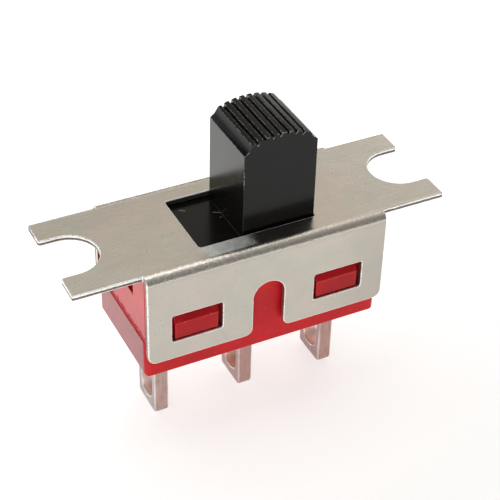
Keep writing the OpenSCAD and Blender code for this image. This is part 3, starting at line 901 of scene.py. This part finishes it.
def lug_face(middle, normal, rounded):
    """0 for a lug's broad sides, 1 for rims, 2 for its cut sides and 3 for the walls of its eye."""
    if rounded:
        return 1
    if abs(normal.x) > 0.7:
        return 0
    in_eye = abs(middle.y) < EYE_ZONE_Y and middle.z > EYE_ZONE_Z
    return 3 if in_eye else 2


# ---- The scene ----

make_world()
# Each softbox has a place, a point it faces, a size and a brightness.
make_softbox("back_right", (95, 85, 40), (0, 0, 0), (80, 60), 0.6)
make_softbox("top", (-2, 18, 110), (0, 0, 0), (92, 68), 1.15)
make_softbox("backdrop", (-85, 95, 14), (0, 0, 0), (150, 46), 1.7)
make_softbox("front_left", (-75, -135, 22), (0, 0, -4), (150, 60), 1.8)
make_camera()
make_floor()

# A punched edge has its bright and its grey shade, a red part its red, its roughness and its index of
# refraction, a black part its index of refraction, and a stamped metal three shades and a roughness.
STEEL = plated_steel()
STEEL_RIM = rubbed_rim()
WINDOW_RIM = window_rim_highlight()
TOP_CUT = punched_steel("punched_top", below_top, (14, 14, 0.7), (0.88, 0.86, 0.83), (0.46, 0.43, 0.39))
# The flap's punched edge is tinted pink: a painted reflection of the red case beside it.
FLAP_CUT = punched_steel("punched_flap", inside_flap, (14, 0.7, 14), (0.62, 0.54, 0.51), (0.42, 0.36, 0.34))
# The case's red comes as three copies, for the ends, the long sides and the ends below the ledge. Their
# differences in red and gloss are painted light and shade, each suited to how light falls on its faces; the
# feet's grey is dust and painted sheen.
RED = red_case("red_case_end", 0.58, 0.3, 1.48)
RED_SIDE = red_case("red_case_side", 0.62, 0.38, 1.3)
RED_FOOT = red_case("red_case_foot", 0.34, 0.34, 1.62, dust_and_sheen=0.032)
RED_RIM = red_rim()
BLACK = black_knob("black_knob", 1.32)
BLACK_SIDE = black_knob("black_knob_side", 1.5)
BLACK_RIM = black_rim()
ACETAL = natural_acetal()
TIN = stamped("tinned_face", ((0.33, 0.27, 0.26), (0.4, 0.345, 0.333), (0.55, 0.5, 0.48)), 0.26,
              blush=(0.96, 0.74, 0.74))
TIN_RIM = stamped("tinned_rim", ((0.56, 0.48, 0.46), (0.72, 0.66, 0.64), (0.88, 0.85, 0.83)), 0.34,
                  blush=(0.97, 0.85, 0.84))
TIN_CUT = stamped("tinned_cut", ((0.38, 0.27, 0.243), (0.46, 0.35, 0.322), (0.6, 0.5, 0.47)), 0.32,
                  (9, 9, 0.8), copper=(0.5, 0.345, 0.29), blush=(0.97, 0.86, 0.86))
# The eyes' walls are painted near white and pink: painted light where the eye is in shade, and painted
# reflections of the red case.
TIN_EYE_PAINTED_LIGHT = stamped("tinned_eye_painted_light", ((0.86, 0.74, 0.7), (0.95, 0.9, 0.88), (0.98, 0.96, 0.95)), 0.42,
                  (0.8, 9, 9), copper=(0.92, 0.74, 0.67), blush=(0.98, 0.84, 0.8))
COPPER = stamped("rocker_copper", ((0.5, 0.28, 0.18), (0.75, 0.47, 0.32), (0.85, 0.62, 0.48)), 0.3,
                 (0.8, 8, 8))
SILVER = stamped("contact_silver", ((0.6, 0.58, 0.54), (0.82, 0.81, 0.78), (0.92, 0.91, 0.89)), 0.2,
                 (5, 5, 5))
WIRE = stamped("spring_wire", ((0.36, 0.35, 0.33), (0.5, 0.5, 0.49), (0.7, 0.7, 0.68)), 0.28, (7, 7, 7))
RESIN = resin()

# Each row has a node, its rounding and weld, the body it rides on, its finish in the record, what sorts
# its faces, and its materials in the order of their slots.
LUG = (LUG_ROUNDING, WELD, "housing", "terminal_tin", lug_face, (TIN, TIN_RIM, TIN_CUT, TIN_EYE_PAINTED_LIGHT))
for node, width, weld, body, slot, sort, materials in (
    ("mounting_frame", FRAME_ROUNDING, FRAME_WELD, "housing", "frame_steel", frame_face,
     (STEEL, STEEL_RIM, TOP_CUT, FLAP_CUT, WINDOW_RIM)),
    ("case", CASE_ROUNDING, WELD, "housing", "case_plastic", case_face, (RED, RED_RIM, RED_SIDE, RED_FOOT)),
    ("actuator", KNOB_ROUNDING, WELD, "slider", "knob_plastic", knob_face, (BLACK, BLACK_RIM, BLACK_SIDE)),
    ("terminal_left", *LUG),
    ("terminal_centre", *LUG),
    ("terminal_right", *LUG),
):
    piece = softened(node, width, weld, sort)
    paint(piece, *materials)
    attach(piece, body)
    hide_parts(node)

spring = coil("contact_spring_coil", SPRING_LOW, SPRING_HIGH, SPRING_WIRE, SPRING_TURNS)
paint(spring, WIRE)
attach(spring, "slider")
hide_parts("contact_spring")
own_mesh(spring)

repaint("plunger", ACETAL)
repaint("rocker", COPPER)
repaint("terminal_seal", RESIN)
for node in ("rocker_contact_left", "rocker_contact_right", "fixed_contact_left", "fixed_contact_right"):
    repaint(node, SILVER)
